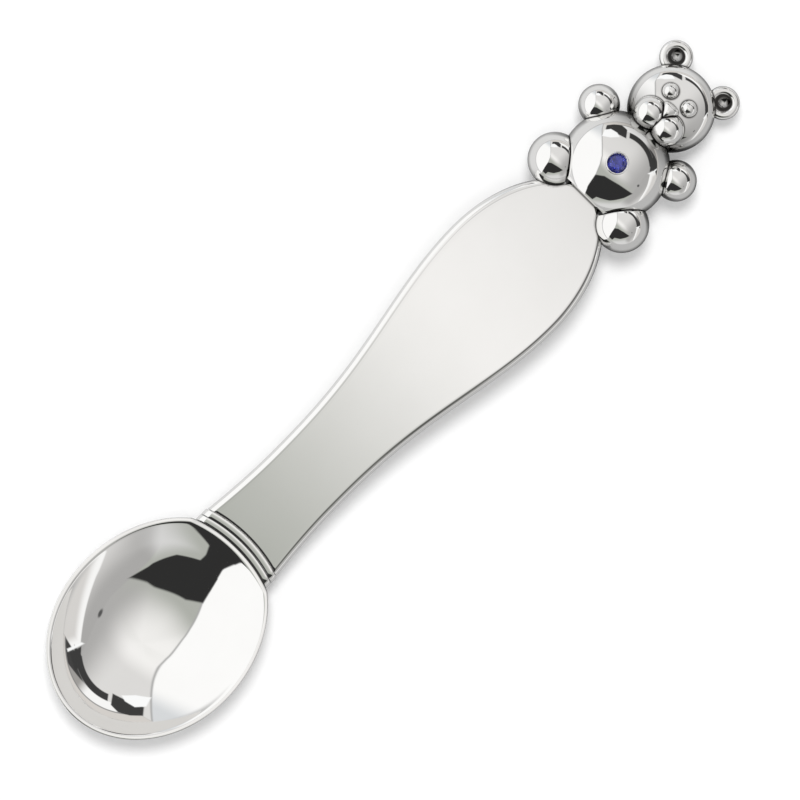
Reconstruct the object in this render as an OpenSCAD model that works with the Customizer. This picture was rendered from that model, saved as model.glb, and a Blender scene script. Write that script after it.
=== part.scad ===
// Baby spoon: an oval bowl, a collar of two beads, an arched paddle handle and a seated
// teddy bear whose belly holds one round stone.
// Millimetres. +X runs from the bowl towards the bear, +Z is up from the table, and the
// origin lies on the table under the middle of the whole length.

/* [Bowl] */
// Length of the bowl along its middle, from the tip to the collar
bowl_length = 29.6; // [27:0.1:34]
// Width of the bowl over its rim
bowl_width = 25.1; // [20:0.1:30]
// Depth of the hollow below the rim
bowl_depth = 5.4; // [4.8:0.1:6.5]
// Distance from the tip to the widest place
bowl_widest = 15; // [13:0.1:17]
// Distance from the tip to the deepest place
bowl_deepest = 12.6; // [11:0.1:15]
// Distance by which the full oval would run past the collar
bowl_overrun = 1.2; // [0.6:0.1:2]
// Dip of the rim where it runs into the collar
heel_dip = 1; // [0.6:0.1:1.6]
// Thickness of the bowl at its deepest place
bowl_wall = 1; // [0.7:0.1:1.6]
// Width of the rim, seen from above
rim_width = 0.6; // [0.4:0.05:1]
// Height of the rim's outer edge
rim_edge = 0.45; // [0.3:0.05:0.8]

/* [Collar] */
// Width of each bead along the spoon
bead_width = 0.94; // [0.7:0.02:1.4]
// Height of each bead above the neck that it wraps
bead_rise = 0.5; // [0.3:0.05:0.8]
// Radius of the collar's bow, seen from above
collar_radius = 19; // [14:0.5:30]
// Depth of the neck that the beads wrap, below the handle's face
neck_inset = 0.35; // [0.25:0.05:0.38]
// Step from the bowl's heel up to the handle's face
neck_step = 0.15; // [0.05:0.05:0.4]
// Thickness by which the bowl's heel exceeds the handle
heel_cover = 0.4; // [0.2:0.05:0.8]

/* [Handle] */
// Length of the handle's face, from the collar to the bear
handle_length = 60.4; // [50:0.1:75]
// Thickness of the handle
handle_thickness = 2.2; // [2.1:0.1:3]
// Width beside the collar
collar_width = 12.2; // [10.8:0.1:15]
// Width at the waist
waist_width = 10.8; // [8:0.1:12]
// Distance from the collar to the waist
waist_distance = 10.5; // [7:0.1:15]
// Width at the widest place of the paddle
paddle_width = 18.5; // [15:0.1:22]
// Length of the rounded end past the widest place
paddle_end = 14.3; // [12:0.1:18]
// Distance by which the end's oval would run on into the torso
paddle_overrun = 0.7; // [0.4:0.1:1]
// Radius of the rounded border
border_radius = 1; // [0.6:0.05:1]

/* [Bear] */
// Tilt of the bear, which follows the end of the handle, in degrees
bear_tilt = 5; // [3:0.5:8]
// Radius of the torso, seen from the front
torso_radius = 7; // [6:0.1:8.5]
// Half of the torso's thickness
torso_half = 5.6; // [5.4:0.05:6.2]
// Radius of the torso's rounded edge
torso_edge = 5; // [4.4:0.05:5.2]
// Depth of the flat seat where the handle meets the torso
seat_depth = 1.35; // [1:0.05:2]
// Radius of the head, seen from the front
head_radius = 5.6; // [5:0.1:6.6]
// Half of the head's thickness
head_half = 3.4; // [3.3:0.05:3.8]
// Radius of the head's rounded edge
head_edge = 2.8; // [2.6:0.05:3]
// Depth by which the head and the torso run into each other
head_sink = 2.4; // [1.8:0.05:3]
// Radius of each foot
foot_radius = 3.5; // [3:0.05:4]
// Depth by which each foot is let into the torso
foot_sink = 2.9; // [2.5:0.05:3.2]
// Radius of each paw
paw_radius = 2.65; // [2.2:0.05:3]
// Depth by which each paw is let into the torso
paw_sink = 1.7; // [1.4:0.05:2]
// Radius of each ear over its ring
ear_radius = 2.15; // [1.8:0.05:2.6]
// Radius of the round bar that makes the ear's ring
ear_bar = 0.58; // [0.5:0.02:0.7]
// Depth by which each ear is let into the head
ear_sink = 1.15; // [0.9:0.05:1.3]

/* [Face] */
// Radius of each cheek
cheek_radius = 2.15; // [1.8:0.05:2.4]
// Distance of each cheek from the middle of the face
cheek_spread = 1.5; // [1.2:0.05:1.7]
// Distance of the cheeks below the middle of the head
cheek_drop = 2.6; // [2.2:0.05:2.8]
// Radius of each eye
eye_radius = 1.08; // [0.8:0.02:1.2]
// Distance of each eye from the middle of the face
eye_spread = 1.58; // [1.45:0.02:1.9]
// Distance of the eyes above the middle of the head
eye_rise = 1.15; // [1.1:0.05:1.6]
// Width of the nose
nose_width = 2.5; // [2:0.1:2.7]
// Height of the nose, from its tip to its flat side
nose_height = 2.1; // [1.9:0.1:2.4]
// Distance of the nose's flat side below the middle of the head
nose_drop = 0.7; // [0.5:0.05:0.9]
// Distance by which the middle of the nose stands out from the face
nose_proud = 0.45; // [0.3:0.05:0.5]
// Further distance by which the tip of the nose stands out, over the cheeks
nose_tip_proud = 0.6; // [0.4:0.05:0.8]

/* [Stone] */
// Diameter of the stone
stone_diameter = 2.5; // [1.8:0.1:3.2]
// Wall of the ring that holds the stone
bezel_wall = 0.2; // [0.15:0.05:0.4]
// Distance of the stone above the middle of the torso, towards the head
stone_rise = -0.18; // [-0.5:0.02:0.3]
// Height of the stone's table over the belly
stone_proud = 0.05; // [0:0.01:0.15]

/* [Joints] */
// Solder gap between pieces that are let into each other
solder_gap = 0.02; // [0.01:0.01:0.06]
// Depth by which each peg enters its hole
peg_depth = 1.1; // [0.8:0.05:1.2]
// Length of each peg inside the piece that carries it
peg_root = 0.5; // [0.3:0.05:0.6]
// Width of the handle's two tongues
tongue_width = 3.2; // [2.6:0.1:3.4]
// Thickness of the handle's two tongues
tongue_thickness = 0.9; // [0.7:0.05:1.1]
// Length of the tongue that enters the torso
tongue_length = 2.6; // [2:0.1:2.8]
// Length of the tongue that enters the bowl's heel
heel_tongue = 1.2; // [0.9:0.05:1.4]
// Depth of the flats on which the spoon rests
rest_flat = 0.12; // [0.08:0.01:0.2]

/* [Hidden] */
$fn = 96;
silver = [0.86, 0.86, 0.84];
oxide = [0.70, 0.70, 0.70];
blue = [0.20, 0.22, 0.56];
far = 200;

// Peg radii, each a share of the piece that it holds
foot_peg = 0.2 * foot_radius;
paw_peg = 0.22 * paw_radius;
ear_peg = 0.38 * ear_bar;
cheek_peg = 0.22 * cheek_radius;
eye_peg = 0.35 * eye_radius;
nose_peg = 0.12 * nose_width;
neck_post = 0.26 * head_radius;

// Ovals of the torso and the head: two face arcs joined by a round edge
function face_radius(radius, half, edge) =
    (pow(radius - edge, 2) + half * half - edge * edge) / (2 * (half - edge));
function face_offset(radius, half, edge) = face_radius(radius, half, edge) - half;
// Depth from the middle of a tilted oval down to its lowest point
function oval_reach(radius, half, edge) =
    face_radius(radius, half, edge) - face_offset(radius, half, edge) * cos(bear_tilt);
// Point of an oval's half outline, by the angle of its normal from the front
function oval_point(angle, radius, half, edge) =
    let (offset = face_offset(radius, half, edge),
         turn = min(angle, 180 - angle),
         side = angle > 90 ? -1 : 1,
         on_face = turn < atan2(radius - edge, offset),
         bend = on_face ? face_radius(radius, half, edge) : edge)
    [on_face ? bend * sin(turn) : radius - edge + bend * sin(turn),
     side * (on_face ? bend * cos(turn) - offset : bend * cos(turn))];
// Height of the face of the head over its middle plane, at a distance from its centre
function face_height(distance) =
    sqrt(pow(face_radius(head_radius, head_half, head_edge), 2) - distance * distance)
    - face_offset(head_radius, head_half, head_edge);

// Places on the bear, in the bear's own frame: +X to the head, +Z to the front
seat_plane = seat_depth - torso_radius;
neck_plane = torso_radius - head_sink / 2;
head_centre = torso_radius + head_radius - head_sink;
foot_angle = 129;
paw_angle = 59;
ear_angle = 39;
foot_distance = torso_radius + foot_radius - foot_sink;
paw_distance = torso_radius + paw_radius - paw_sink;
ear_distance = head_radius + ear_radius - ear_sink;
ear_middle = ear_radius - ear_bar;
ear_plate = 0.8 * ear_bar;
cheek_height = face_height(norm([cheek_drop, cheek_spread]));
eye_bury = 0.1;
eye_height = face_height(norm([eye_rise, eye_spread])) - eye_bury * eye_radius;

// Places along the spoon, measured from the tip of the bowl
collar_end = bowl_length + 2 * bead_width + 3 * solder_gap;
torso_place = collar_end + handle_length - seat_plane * cos(bear_tilt);
ear_reach = head_centre + ear_distance * cos(ear_angle) + ear_middle;
total_length = torso_place + ear_reach * cos(bear_tilt) + ear_bar;
middle = total_length / 2;
widest_place = collar_end + handle_length - paddle_end;
waist_place = collar_end + waist_distance;

// Heights above the table
floor_top = bowl_wall - rest_flat;
rim_height = floor_top + bowl_depth;
heel_height = rim_height - heel_dip;
neck_height = heel_height + neck_step - handle_thickness / 2;
torso_height = max(
    oval_reach(torso_radius, torso_half, torso_edge),
    oval_reach(head_radius, head_half, head_edge) + head_centre * sin(bear_tilt)
) - rest_flat;

// The handle's arch: the circle through the neck that leaves the torso at the bear's tilt
arch_run = collar_end - torso_place;
arch_rise = neck_height - torso_height;
arch_radius = -(arch_run * arch_run + arch_rise * arch_rise)
    / (2 * (arch_run * sin(bear_tilt) + arch_rise * cos(bear_tilt)));
arch_middle = torso_place - arch_radius * sin(bear_tilt);
arch_base = torso_height - arch_radius * cos(bear_tilt);
function arch_height(place) = arch_base + sqrt(pow(arch_radius, 2) - pow(place - arch_middle, 2));

heel_thickness = handle_thickness + heel_cover;

// Faces of a tube of rings, each of the same number of points
function tube_faces(rings, count, first = 0, looped = false) = [
    for (r = [0 : rings - (looped ? 1 : 2)], j = [0 : count - 1])
        let (a = first + r * count + j,
             b = first + r * count + (j + 1) % count,
             up = ((r + 1) % rings - r) * count)
        each [[a, b, b + up], [a, b + up, a + up]]
];
// Setback of the collar's bow at a distance from the middle
function bow(across) = sqrt(pow(collar_radius, 2) - across * across) - collar_radius;
// Smooth step from 0 to 1
function ease(t) = let (c = min(1, max(0, t))) (1 - cos(180 * c)) / 2;

// Upper half of a flat bar's section, from its -Y edge to its +Y edge
corner_steps = 4;
flat_steps = 8;
function bar_top(half_width, half_height, corner) = [
    for (i = [0 : corner_steps])
        let (a = 90 * i / corner_steps)
        [corner - half_width - corner * cos(a), half_height - corner + corner * sin(a)],
    for (i = [1 : flat_steps - 1])
        [(half_width - corner) * (2 * i / flat_steps - 1), half_height],
    for (i = [0 : corner_steps])
        let (a = 90 - 90 * i / corner_steps)
        [half_width - corner + corner * cos(a), half_height - corner + corner * sin(a)]
];
bar_points = 2 * (2 * (corner_steps + 1) + flat_steps - 1);
// Whole section as points across and up
function bar_section(half_width, half_height, corner) =
    let (top = bar_top(half_width, half_height, corner), last = len(top) - 1)
    concat(top, [for (i = [last : -1 : 0]) [top[i][0], -top[i][1]]]);
// Flat cap of a section, as strips between its upper and its lower half
function cap_faces(first, flipped) = [
    for (i = [0 : bar_points / 2 - 2])
        let (a = first + i, b = first + bar_points - 1 - i)
        each flipped ? [[a, b - 1, a + 1], [a, b, b - 1]] : [[a, a + 1, b - 1], [a, b - 1, b]]
];
// Section set on the arch, with the collar's bow blended in by a share
function bar_ring(place, section, share) = [
    for (p = section)
        let (x = place + share * bow(p[0]))
        [x - middle, p[0], arch_height(x) + p[1]]
];

// Plan of the bowl's whole oval, from the deepest place: it would run on past the collar
function oval_vector(angle) =
    let (half = cos(angle) > 0 ? bowl_length + bowl_overrun - bowl_widest : bowl_widest)
    [bowl_widest - bowl_deepest + half * cos(angle), bowl_width / 2 * sin(angle)];
// Share of that vector at which it meets the collar's bow
function collar_share(angle) =
    let (v = oval_vector(angle),
         inside = bowl_deepest - bowl_length + collar_radius,
         along = inside * v[0])
    (sqrt(along * along + v * v * (pow(collar_radius, 2) - inside * inside)) - along) / (v * v);
// Plan of the bowl, cut off at the collar
function bowl_vector(angle) = min(1, collar_share(angle)) * oval_vector(angle);
// The same plan with soft corners, which the hollow and the back follow
corner_blend = 0.12;
function soft_min(a, b, blend) = min(a, b) - pow(max(0, blend - abs(a - b)), 2) / (4 * blend);
function soft_vector(angle) = soft_min(1, collar_share(angle), corner_blend) * oval_vector(angle);
// Share of the heel at an angle round the bowl: 1 at the collar, 0 on the free rim
function heel_share(angle) = pow(max(0, cos(angle)), 2);
heel_angle = 62;
heel_fade = 34;
function heel_band(angle) = ease((heel_angle - min(angle, 360 - angle)) / heel_fade);
// Power with which the hollow rises towards the rim: steep walls need a high one
side_bend = 2.2;
tip_bend = 2.9;
heel_bend = 3.4;
function bowl_bend(angle) =
    side_bend + ((cos(angle) > 0 ? heel_bend : tip_bend) - side_bend) * pow(cos(angle), 2);
// Rise of the hollow's section, from 0 at the deepest place to 1 at the rim
lip_start = 0.85;
lip_bend = 6;
function hollow_rise(angle, share_out) =
    let (lip = lip_bend * heel_share(angle))
    (pow(share_out, bowl_bend(angle)) - lip * pow(max(0, share_out - lip_start), 2))
    / (1 - lip * pow(1 - lip_start, 2));
function hollow_height(angle, distance) =
    let (rim = rim_height - heel_dip * heel_share(angle),
         share_out = distance / (norm(soft_vector(angle)) - rim_width))
    floor_top + (rim - floor_top) * hollow_rise(angle, share_out);
function rim_at(angle) = hollow_height(angle, norm(bowl_vector(angle)) - rim_width);

bowl_rings = 16;
bowl_sides = 72;
function inner_ring(share_out) = [
    for (j = [0 : bowl_sides - 1])
        let (angle = 360 * j / bowl_sides,
             v = bowl_vector(angle),
             xy = v * (1 - rim_width / norm(v)) * share_out)
        [bowl_deepest - middle + xy[0], xy[1], hollow_height(angle, norm(xy))]
];
function outer_ring(share_out) = [
    for (j = [0 : bowl_sides - 1])
        let (angle = 360 * j / bowl_sides,
             xy = bowl_vector(angle) * share_out,
             share_soft = norm(xy) / norm(soft_vector(angle)),
             edge = rim_edge + (heel_thickness - rim_edge) * heel_band(angle),
             rise = (rim_at(angle) - edge + rest_flat) * pow(share_soft, bowl_bend(angle)))
        [bowl_deepest - middle + xy[0], xy[1], rise - rest_flat]
];
function rim_ring() = [
    for (j = [0 : bowl_sides - 1])
        let (angle = 360 * j / bowl_sides, xy = bowl_vector(angle))
        [bowl_deepest - middle + xy[0], xy[1], rim_at(angle)]
];

module below_table() {
    translate([-far, -far, -far]) cube([2 * far, 2 * far, far]);
}

// Tongue across the collar's joint, with a gap round it where it is cut as a slot
module heel_tongue_block(gap = 0) {
    translate([bowl_length - heel_tongue - gap - middle, -tongue_width / 2 - gap,
               neck_height - tongue_thickness / 2 - gap])
        cube([heel_tongue + 2 * bead_width, tongue_width + 2 * gap, tongue_thickness + 2 * gap]);
}

module bowl_shell() {
    steps = [for (i = [1 : bowl_rings]) i / bowl_rings];
    rings = concat(
        [for (s = steps) inner_ring(s)],
        [rim_ring()],
        [for (i = [bowl_rings - 1 : -1 : 0]) outer_ring(steps[i])]
    );
    points = concat(
        [[bowl_deepest - middle, 0, floor_top]],
        [for (ring = rings) each ring],
        [[bowl_deepest - middle, 0, -rest_flat]]
    );
    last = len(points) - 1;
    faces = concat(
        [for (j = [0 : bowl_sides - 1]) [0, 1 + (j + 1) % bowl_sides, 1 + j]],
        tube_faces(len(rings), bowl_sides, 1),
        [for (j = [0 : bowl_sides - 1])
            [last, last - bowl_sides + j, last - bowl_sides + (j + 1) % bowl_sides]]
    );
    polyhedron(points, faces);
}

module bowl() {
    color(silver) difference() {
        bowl_shell();
        heel_tongue_block(solder_gap);
        below_table();
    }
}

// One half-round bead, a closed band round the neck
module collar_bead(order) {
    round_steps = 8;
    place = bowl_length + solder_gap + (bead_width + solder_gap) * order + bead_width / 2;
    rings = [
        for (i = [0 : round_steps])
            let (a = 180 * i / round_steps,
                 grow = solder_gap - neck_inset + bead_rise * sin(a),
                 shift = -bead_width / 2 * cos(a))
            bar_ring(place + shift, bar_section(collar_width / 2 + grow,
                handle_thickness / 2 + grow, border_radius + grow), 1)
    ];
    color(silver) polyhedron([for (ring = rings) each ring],
        tube_faces(len(rings), bar_points, looped = true));
}

module inner_collar_bead() collar_bead(0);
module outer_collar_bead() collar_bead(1);

// Half width of the handle at a place along the spoon
paddle_swell = 1.25;
function handle_half(place) =
    let (to_waist = (waist_place - place) / waist_distance,
         to_widest = (place - waist_place) / (widest_place - waist_place),
         past = (place - widest_place) / (paddle_end + paddle_overrun))
    place < waist_place ? (waist_width + (collar_width - waist_width) * to_waist * to_waist) / 2
    : place < widest_place
        ? (waist_width + (paddle_width - waist_width) * ease(pow(to_widest, paddle_swell))) / 2
        : max(handle_thickness / 2, paddle_width / 2 * sqrt(max(0, 1 - past * past)));

module handle_bar() {
    stations = 46;
    end_place = collar_end + handle_length + handle_thickness / 2;
    neck = bar_section(collar_width / 2 - neck_inset, handle_thickness / 2 - neck_inset,
        border_radius - neck_inset);
    rings = concat(
        [bar_ring(bowl_length + solder_gap, neck, 1), bar_ring(collar_end, neck, 1)],
        [for (i = [0 : stations])
            let (place = collar_end + (end_place - collar_end) * i / stations,
                 share = pow(max(0, (waist_place - place) / waist_distance), 2))
            bar_ring(place, bar_section(handle_half(place), handle_thickness / 2, border_radius), share)]
    );
    polyhedron([for (ring = rings) each ring], concat(
        cap_faces(0, true),
        tube_faces(len(rings), bar_points),
        cap_faces((len(rings) - 1) * bar_points, false)
    ));
}

module handle() {
    color(silver) union() {
        difference() {
            handle_bar();
            on_bear() {
                translate([seat_plane, -far, -far]) cube(2 * far);
                for (side = [-1, 1]) foot_ball(side, solder_gap);
            }
        }
        heel_tongue_block();
        on_bear() torso_tongue();
    }
}

// Puts a piece of the bear at the end of the handle
module on_bear() {
    translate([torso_place - middle, 0, torso_height]) rotate([0, bear_tilt, 0]) children();
}

module oval(radius, half, edge) {
    steps = 36;
    rotate_extrude() polygon([
        for (i = [0 : steps]) oval_point(180 * i / steps, radius, half, edge)
    ]);
}

// Round peg from one point towards another
module peg(from, to, radius) {
    run = to - from;
    translate(from)
        rotate([0, acos(run[2] / norm(run)), atan2(run[1], run[0])])
            cylinder(r = radius, h = norm(run));
}

function polar(distance, angle, side) = [distance * cos(angle), side * distance * sin(angle), 0];
function foot_centre(side) = polar(foot_distance, foot_angle, side);
function paw_centre(side) = polar(paw_distance, paw_angle, side);
function ear_centre(side) = [head_centre, 0, 0] + polar(ear_distance, ear_angle, side);
function cheek_centre(side) = [head_centre - cheek_drop, side * cheek_spread, cheek_height];
function eye_centre(side) = [head_centre + eye_rise, side * eye_spread, eye_height];

module foot_ball(side, gap = 0) {
    translate(foot_centre(side)) sphere(foot_radius + gap);
}

module torso_tongue(gap = 0) {
    translate([seat_plane - peg_root, -tongue_width / 2 - gap, -tongue_thickness / 2 - gap])
        cube([tongue_length + peg_root + gap, tongue_width + 2 * gap, tongue_thickness + 2 * gap]);
}

// Torso without its holes, grown by a gap where another piece is fitted to it
module torso_blank(gap = 0) {
    intersection() {
        oval(torso_radius + gap, torso_half + gap, torso_edge + gap);
        translate([seat_plane - gap, -far / 2, -far / 2])
            cube([neck_plane - seat_plane + 2 * gap, far, far]);
    }
}

module head_blank(gap = 0) {
    intersection() {
        translate([head_centre, 0, 0]) oval(head_radius + gap, head_half + gap, head_edge + gap);
        translate([neck_plane + solder_gap - gap, -far / 2, -far / 2]) cube(far);
    }
}

// Pegs of the limbs, from inside each limb to the end of its hole
module limb_peg(centre, radius, gap = 0) {
    out = centre / norm(centre);
    peg(out * (torso_radius + peg_root), out * (torso_radius - peg_depth - gap), radius + gap);
}

module foot_pin(side, gap = 0) {
    limb_peg(foot_centre(side), foot_peg, gap);
}

module paw_pin(side, gap = 0) {
    limb_peg(paw_centre(side), paw_peg, gap);
}

module neck_pin(gap = 0) {
    depth = 2 * peg_depth;
    peg([neck_plane + peg_root, 0, 0], [neck_plane - depth - gap, 0, 0], neck_post + gap);
}

module ear_pin(side, gap = 0) {
    out = polar(1, ear_angle, side);
    base = [head_centre, 0, ear_plate / 2 - ear_bar];
    peg(base + out * (head_radius + peg_root), base + out * (head_radius - peg_depth - gap), ear_peg + gap);
}

module face_pin(centre, radius, gap = 0) {
    foot = face_height(norm([centre[0] - head_centre, centre[1]])) - peg_depth - gap;
    peg(centre + [0, 0, peg_root / 2], [centre[0], centre[1], foot], radius + gap);
}

module torso() {
    color(silver) difference() {
        on_bear() difference() {
            torso_blank();
            torso_tongue(solder_gap);
            neck_pin(solder_gap);
            for (side = [-1, 1]) {
                foot_pin(side, solder_gap);
                paw_pin(side, solder_gap);
            }
            stone_seat();
        }
        below_table();
    }
}

module head() {
    color(silver) difference() {
        on_bear() difference() {
            union() {
                head_blank();
                neck_pin();
            }
            for (side = [-1, 1]) {
                ear_pin(side, solder_gap);
                face_pin(cheek_centre(side), cheek_peg, solder_gap);
                face_pin(eye_centre(side), eye_peg, solder_gap);
            }
            face_pin(nose_centre, nose_peg, solder_gap);
        }
        below_table();
    }
}

module foot(side) {
    color(silver) on_bear() union() {
        difference() {
            foot_ball(side);
            torso_blank(solder_gap);
        }
        foot_pin(side);
    }
}

module paw(side) {
    color(silver) on_bear() union() {
        difference() {
            translate(paw_centre(side)) sphere(paw_radius);
            torso_blank(solder_gap);
        }
        paw_pin(side);
    }
}

// Ring of round bar with a dished plate inside it
module ear(side) {
    color(oxide) on_bear() union() {
        difference() {
            translate(ear_centre(side)) rotate_extrude() union() {
                translate([ear_middle, 0]) circle(ear_bar);
                translate([0, -ear_bar]) square([ear_middle, ear_plate]);
            }
            head_blank(solder_gap);
        }
        ear_pin(side);
    }
}

module cheek(side) {
    centre = cheek_centre(side);
    color(silver) on_bear() union() {
        difference() {
            translate(centre) sphere(cheek_radius);
            head_blank(solder_gap);
            torso_blank(solder_gap);
            face_pin(nose_centre, nose_peg, solder_gap);
            translate([-far, side > 0 ? solder_gap / 2 - 2 * far : -solder_gap / 2, -far]) cube(2 * far);
        }
        face_pin(centre, cheek_peg);
    }
}

// Nose: a rounded triangle that points down to the mouth
nose_round = 0.26 * nose_width;
nose_tip_round = 0.7 * nose_round;
nose_centre = [head_centre - nose_drop, 0, face_height(nose_drop) + nose_proud];
module nose() {
    tip = nose_centre + [nose_round + nose_tip_round - nose_height, 0, nose_tip_proud];
    color(silver) on_bear() union() {
        difference() {
            hull() {
                for (side = [-1, 1])
                    translate(nose_centre + [0, side * (nose_width / 2 - nose_round), 0])
                        sphere(nose_round, $fn = 20);
                translate(tip) sphere(nose_tip_round, $fn = 20);
            }
            head_blank(solder_gap);
            for (side = [-1, 1]) translate(cheek_centre(side)) sphere(cheek_radius + solder_gap);
        }
        face_pin(nose_centre, nose_peg);
    }
}

module eye(side) {
    color(silver) on_bear() union() {
        difference() {
            translate(eye_centre(side)) sphere(eye_radius);
            head_blank(solder_gap);
        }
        face_pin(eye_centre(side), eye_peg);
    }
}

module left_foot() foot(1);
module right_foot() foot(-1);
module left_paw() paw(1);
module right_paw() paw(-1);
module left_ear() ear(1);
module right_ear() ear(-1);
module left_cheek() cheek(1);
module right_cheek() cheek(-1);
module left_eye() eye(1);
module right_eye() eye(-1);

// Stone and its ring: the stone's table stands level with the ring
girdle_radius = stone_diameter / 2;
crown_height = 0.16 * stone_diameter;
girdle_height = 0.04 * stone_diameter;
pavilion_height = 0.42 * stone_diameter;
bezel_height = crown_height + 2 * girdle_height;
bezel_outer = girdle_radius + solder_gap + bezel_wall;
stone_top = torso_half + stone_proud;

module on_stone() {
    translate([stone_rise, 0, stone_top]) children();
}

// Hollow of the torso that takes the ring and the point of the stone
module stone_seat() {
    on_stone() rotate_extrude() polygon([
        [0, 1], [bezel_outer + solder_gap, 1], [bezel_outer + solder_gap, -bezel_height - solder_gap],
        [girdle_radius, -bezel_height - solder_gap],
        [0, -bezel_height - pavilion_height - solder_gap]
    ]);
}

module bezel() {
    inner = girdle_radius + solder_gap;
    color(silver) on_bear() on_stone() rotate_extrude() polygon([
        [inner, 0], [bezel_outer - bezel_wall / 2, 0], [bezel_outer, -bezel_wall / 2],
        [bezel_outer, -bezel_height], [inner, -bezel_height]
    ]);
}

module stone() {
    table = 0.56 * girdle_radius;
    color(blue) on_bear() on_stone() rotate_extrude() polygon([
        [0, 0], [table, 0], [girdle_radius, -crown_height],
        [girdle_radius, -crown_height - girdle_height],
        [0, -crown_height - girdle_height - pavilion_height]
    ]);
}

bowl();
inner_collar_bead();
outer_collar_bead();
handle();
torso();
head();
left_foot();
right_foot();
left_paw();
right_paw();
left_ear();
right_ear();
left_cheek();
right_cheek();
nose();
left_eye();
right_eye();
bezel();
stone();
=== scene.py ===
import math

import bmesh
import bpy
import numpy as np
from mathutils import Matrix, Vector


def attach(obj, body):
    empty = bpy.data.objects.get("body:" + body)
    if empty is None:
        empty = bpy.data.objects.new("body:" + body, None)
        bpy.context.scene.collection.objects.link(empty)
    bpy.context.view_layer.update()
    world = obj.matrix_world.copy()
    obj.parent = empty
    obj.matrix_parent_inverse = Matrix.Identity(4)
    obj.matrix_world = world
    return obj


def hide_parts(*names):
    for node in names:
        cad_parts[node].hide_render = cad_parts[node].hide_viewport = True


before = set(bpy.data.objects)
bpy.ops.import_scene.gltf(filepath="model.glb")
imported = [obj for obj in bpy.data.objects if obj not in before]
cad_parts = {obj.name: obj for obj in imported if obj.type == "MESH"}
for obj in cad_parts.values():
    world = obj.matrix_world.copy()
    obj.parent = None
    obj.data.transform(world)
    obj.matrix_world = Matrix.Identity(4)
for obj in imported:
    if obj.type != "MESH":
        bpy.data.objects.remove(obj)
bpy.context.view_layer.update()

MM = 0.001

# Sizes of the solids, in millimetres, under the names that their source gives them.
BOWL_LENGTH, BOWL_WIDTH, BOWL_DEPTH = 29.6, 25.1, 5.4
BOWL_WIDEST, BOWL_DEEPEST, BOWL_OVERRUN = 15, 12.6, 1.2
HEEL_DIP, BOWL_WALL, RIM_WIDTH, RIM_EDGE = 1, 1, 0.6, 0.45
HEEL_ANGLE, HEEL_FADE = math.radians(62), math.radians(34)
SIDE_BEND, TIP_BEND, HEEL_BEND = 2.2, 2.9, 3.4
LIP_START, LIP_BEND, CORNER_BLEND = 0.85, 6, 0.12
BEAD_WIDTH, BEAD_RISE, COLLAR_RADIUS = 0.94, 0.5, 19
NECK_INSET, NECK_STEP, HEEL_COVER = 0.35, 0.15, 0.4
HANDLE_LENGTH, HANDLE_THICKNESS = 60.4, 2.2
COLLAR_WIDTH, WAIST_WIDTH, WAIST_DISTANCE = 12.2, 10.8, 10.5
PADDLE_WIDTH, PADDLE_END, PADDLE_OVERRUN = 18.5, 14.3, 0.7
PADDLE_SWELL, BORDER_RADIUS = 1.25, 1
BEAR_TILT = math.radians(5)
TORSO = (7, 5.6, 5)
HEAD = (5.6, 3.4, 2.8)
SEAT_DEPTH, HEAD_SINK = 1.35, 2.4
FOOT_RADIUS, FOOT_SINK, FOOT_ANGLE = 3.5, 2.9, math.radians(129)
PAW_RADIUS, PAW_SINK, PAW_ANGLE = 2.65, 1.7, math.radians(59)
EAR_RADIUS, EAR_BAR, EAR_SINK, EAR_ANGLE = 2.15, 0.58, 1.15, math.radians(39)
CHEEK_RADIUS, CHEEK_SPREAD, CHEEK_DROP = 2.15, 1.5, 2.6
EYE_RADIUS, EYE_SPREAD, EYE_RISE, EYE_BURY = 1.08, 1.58, 1.15, 0.1
NOSE_HEIGHT, NOSE_DROP = 2.1, 0.7
NOSE_PROUD, NOSE_TIP_PROUD = 0.45, 0.6
STONE_DIAMETER, BEZEL_WALL, STONE_RISE, STONE_PROUD = 2.5, 0.2, -0.18, 0.05
SOLDER_GAP, REST_FLAT = 0.02, 0.12

# Places along the spoon, from the tip of the bowl, and heights over the table.
SEAT_PLANE = SEAT_DEPTH - TORSO[0]
NECK_PLANE = TORSO[0] - HEAD_SINK / 2
HEAD_CENTRE = TORSO[0] + HEAD[0] - HEAD_SINK
HEAD_ORIGIN = np.array([HEAD_CENTRE, 0, 0])
EAR_MIDDLE = EAR_RADIUS - EAR_BAR
EAR_DISTANCE = HEAD[0] + EAR_RADIUS - EAR_SINK
COLLAR_END = BOWL_LENGTH + 2 * BEAD_WIDTH + 3 * SOLDER_GAP
TORSO_PLACE = COLLAR_END + HANDLE_LENGTH - SEAT_PLANE * math.cos(BEAR_TILT)
EAR_REACH = HEAD_CENTRE + EAR_DISTANCE * math.cos(EAR_ANGLE) + EAR_MIDDLE
TOTAL_LENGTH = TORSO_PLACE + EAR_REACH * math.cos(BEAR_TILT) + EAR_BAR
MIDDLE = TOTAL_LENGTH / 2
WIDEST_PLACE = COLLAR_END + HANDLE_LENGTH - PADDLE_END
WAIST_PLACE = COLLAR_END + WAIST_DISTANCE
FLOOR_TOP = BOWL_WALL - REST_FLAT
RIM_HEIGHT = FLOOR_TOP + BOWL_DEPTH
NECK_HEIGHT = RIM_HEIGHT - HEEL_DIP + NECK_STEP - HANDLE_THICKNESS / 2


def face_radius(oval):
    """Radius of the face arcs of an oval, which is given by its radius, half thickness and edge radius."""
    radius, half, edge = oval
    return ((radius - edge) ** 2 + half ** 2 - edge ** 2) / (2 * (half - edge))


def face_offset(oval):
    """Distance of a face arc's centre from the middle plane, on the far side."""
    return face_radius(oval) - oval[1]


def oval_reach(oval):
    """Distance from the centre of an oval down to the lowest point of its tilted face."""
    return face_radius(oval) - face_offset(oval) * math.cos(BEAR_TILT)


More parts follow.
